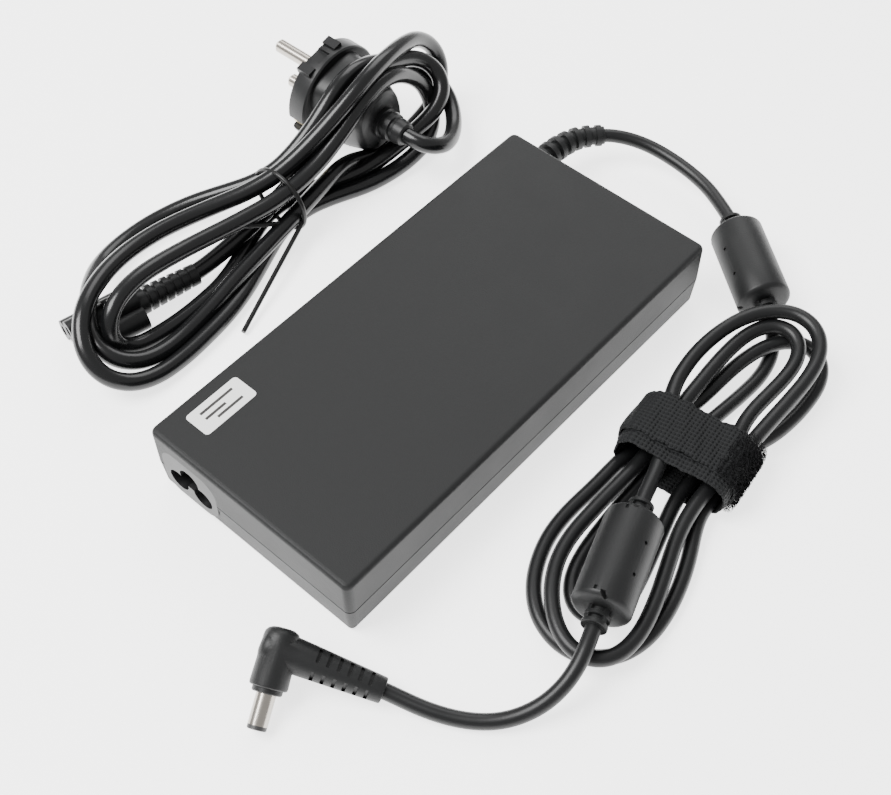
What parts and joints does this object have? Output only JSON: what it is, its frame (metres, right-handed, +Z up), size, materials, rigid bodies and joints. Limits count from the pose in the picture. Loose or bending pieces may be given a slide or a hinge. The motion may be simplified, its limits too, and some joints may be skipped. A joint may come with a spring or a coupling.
{
  "type": "laptop power adapter",
  "caption": "Slim laptop power adapter with a coiled barrel-plug cord held by a hook-and-loop strap and a folded mains lead with a round-pin wall plug.",
  "frame": {"origin": "centre of the case footprint on the surface it stands on", "axes": "+Y along the case from the mains inlet to the laptop cord, +Z up, +X across the case towards the coiled laptop cord"},
  "size_m": [0.2337, 0.2437, 0.0375],
  "materials": {
    "case_plastic": "fine spark-eroded texture",
    "label_film": "white film with a thin printed frame",
    "rating_film": "blank dark film",
    "inlet_plastic": "satin moulded",
    "nickel": "satin nickel plating",
    "wire_insulation": "coloured insulation",
    "circuit_board": "solder mask",
    "insulating_film": "thin film",
    "ceramic": "glazed ceramic",
    "blue_epoxy": "dipped epoxy",
    "dark_epoxy": "dipped epoxy",
    "yellow_box": "moulded box",
    "ferrite": "sintered ferrite",
    "black_resin": "moulded resin",
    "copper_wire": "enamelled copper",
    "aluminium": "rolled sheet",
    "capacitor_sleeve": "shrink sleeve",
    "zinc_steel": "zinc plated",
    "winding_tape": "polyester tape",
    "silicone_pad": "soft pad",
    "soft_pvc": "matte soft PVC",
    "cord_jacket": "satin PVC jacket",
    "lead_plastic": "semi-gloss PVC",
    "lead_jacket": "glossy PVC jacket",
    "brass_strip": "tinned brass",
    "strap_webbing": "hook-and-loop webbing",
    "tie_wire": "plastic coated wire"
  },
  "bodies": {
    "adapter": {"board_posts": "case_plastic", "bottom_shell": "case_plastic", "brand_label": "label_film", "bridge_rectifier": "black_resin", "bulk_capacitors": "capacitor_sleeve", "cable_strap": "strap_webbing", "choke_base": "black_resin", "choke_core": "ferrite", "choke_windings": "copper_wire", "control_chips": "black_resin", "dc_cord_hank": "cord_jacket", "dc_cord_run": "cord_jacket", "dc_cord_tail": "cord_jacket", "dc_plug_barrel": "nickel", "dc_plug_body": "soft_pvc", "dc_plug_contact": "nickel", "dc_plug_insulator": "black_resin", "dc_strain_relief": "soft_pvc", "ferrite_a_core": "ferrite", "ferrite_a_overmould": "soft_pvc", "ferrite_b_core": "ferrite", "ferrite_b_overmould": "soft_pvc", "fuse": "ceramic", "heatsink_screws": "zinc_steel", "inductor_core": "ferrite", "inductor_winding": "copper_wire", "inlet_earth_pin": "nickel", "inlet_housing": "inlet_plastic", "inlet_line_pin": "nickel", "inlet_neutral_pin": "nickel", "inlet_wires": "wire_insulation", "inrush_thermistor": "dark_epoxy", "insulating_sheet": "insulating_film", "main_board": "circuit_board", "optocouplers": "black_resin", "output_capacitors": "capacitor_sleeve", "output_choke_core": "ferrite", "output_choke_winding": "copper_wire", "output_heatsink": "aluminium", "output_rectifiers": "black_resin", "primary_heatsink": "aluminium", "rating_label": "rating_film", "switching_transistors": "black_resin", "thermal_pads": "silicone_pad", "top_heat_spreader": "aluminium", "top_shell": "case_plastic", "transformer_bobbin": "black_resin", "transformer_core": "ferrite", "transformer_winding": "winding_tape", "varistor": "blue_epoxy", "x_capacitor": "yellow_box", "y_capacitor": "blue_epoxy"},
    "mains_lead": {"wall_plug_body": "lead_plastic", "wall_plug_pins": "nickel", "wall_plug_earth_strips": "brass_strip", "wall_plug_earth_socket": "brass_strip", "connector_body": "lead_plastic", "connector_contacts": "brass_strip", "mains_lead_hank": "lead_jacket", "twist_tie": "tie_wire"}
  },
  "joints": [
    {"name": "lead_lift", "type": "slide", "parent": "adapter", "child": "mains_lead", "axis": [0, 0, 1], "range_m": [0, 0.12]}
  ]
}
